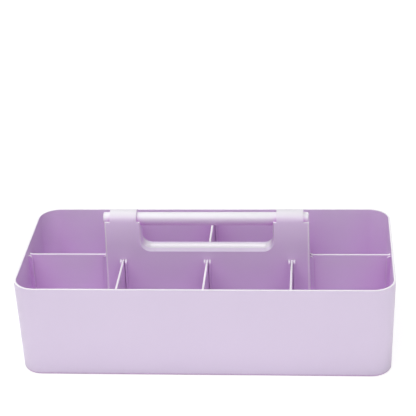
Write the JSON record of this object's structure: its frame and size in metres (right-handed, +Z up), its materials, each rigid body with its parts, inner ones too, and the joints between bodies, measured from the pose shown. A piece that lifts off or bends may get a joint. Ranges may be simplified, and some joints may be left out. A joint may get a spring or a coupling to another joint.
{
  "type": "storage caddy",
  "caption": "Open desk caddy with rounded corners, a hollow centre tower with a hand opening, a round grip bar and lift-out dividers in ribbed channels.",
  "frame": {"origin": "middle of the tub's footprint, on the surface that it stands on", "axes": "+X to the right along the grip bar, +Y to the rear, +Z up"},
  "size_m": [0.39, 0.1844, 0.1476],
  "materials": {
    "tub": "lilac moulded plastic, satin",
    "handle_tower": "lilac moulded plastic, satin",
    "grip_bar": "pale lilac plastic, smooth",
    "divider": "lilac moulded plastic, satin"
  },
  "bodies": {
    "caddy": {"tub": "tub", "handle_tower": "handle_tower"},
    "bar": {"grip_bar": "grip_bar"},
    "end_left": {"end_divider_left": "divider"},
    "end_right": {"end_divider_right": "divider"},
    "front_left": {"front_divider_left": "divider"},
    "front_centre": {"front_divider_centre": "divider"},
    "front_right": {"front_divider_right": "divider"},
    "rear_left": {"rear_divider_left": "divider"},
    "rear_centre": {"rear_divider_centre": "divider"},
    "rear_right": {"rear_divider_right": "divider"}
  },
  "joints": [
    {"name": "bar_turn", "type": "hinge", "parent": "caddy", "child": "bar", "pos_m": [0, 0, 0.1372], "axis": [1, 0, 0], "continuous": true},
    {"name": "end_left_lift", "type": "slide", "parent": "caddy", "child": "end_left", "axis": [0, 0, 1], "range_m": [0, 0.15]},
    {"name": "end_right_lift", "type": "slide", "parent": "caddy", "child": "end_right", "axis": [0, 0, 1], "range_m": [0, 0.15]},
    {"name": "front_left_lift", "type": "slide", "parent": "caddy", "child": "front_left", "axis": [0, 0, 1], "range_m": [0, 0.15]},
    {"name": "front_centre_lift", "type": "slide", "parent": "caddy", "child": "front_centre", "axis": [0, 0, 1], "range_m": [0, 0.15]},
    {"name": "front_right_lift", "type": "slide", "parent": "caddy", "child": "front_right", "axis": [0, 0, 1], "range_m": [0, 0.15]},
    {"name": "rear_left_lift", "type": "slide", "parent": "caddy", "child": "rear_left", "axis": [0, 0, 1], "range_m": [0, 0.15]},
    {"name": "rear_centre_lift", "type": "slide", "parent": "caddy", "child": "rear_centre", "axis": [0, 0, 1], "range_m": [0, 0.15]},
    {"name": "rear_right_lift", "type": "slide", "parent": "caddy", "child": "rear_right", "axis": [0, 0, 1], "range_m": [0, 0.15]}
  ]
}
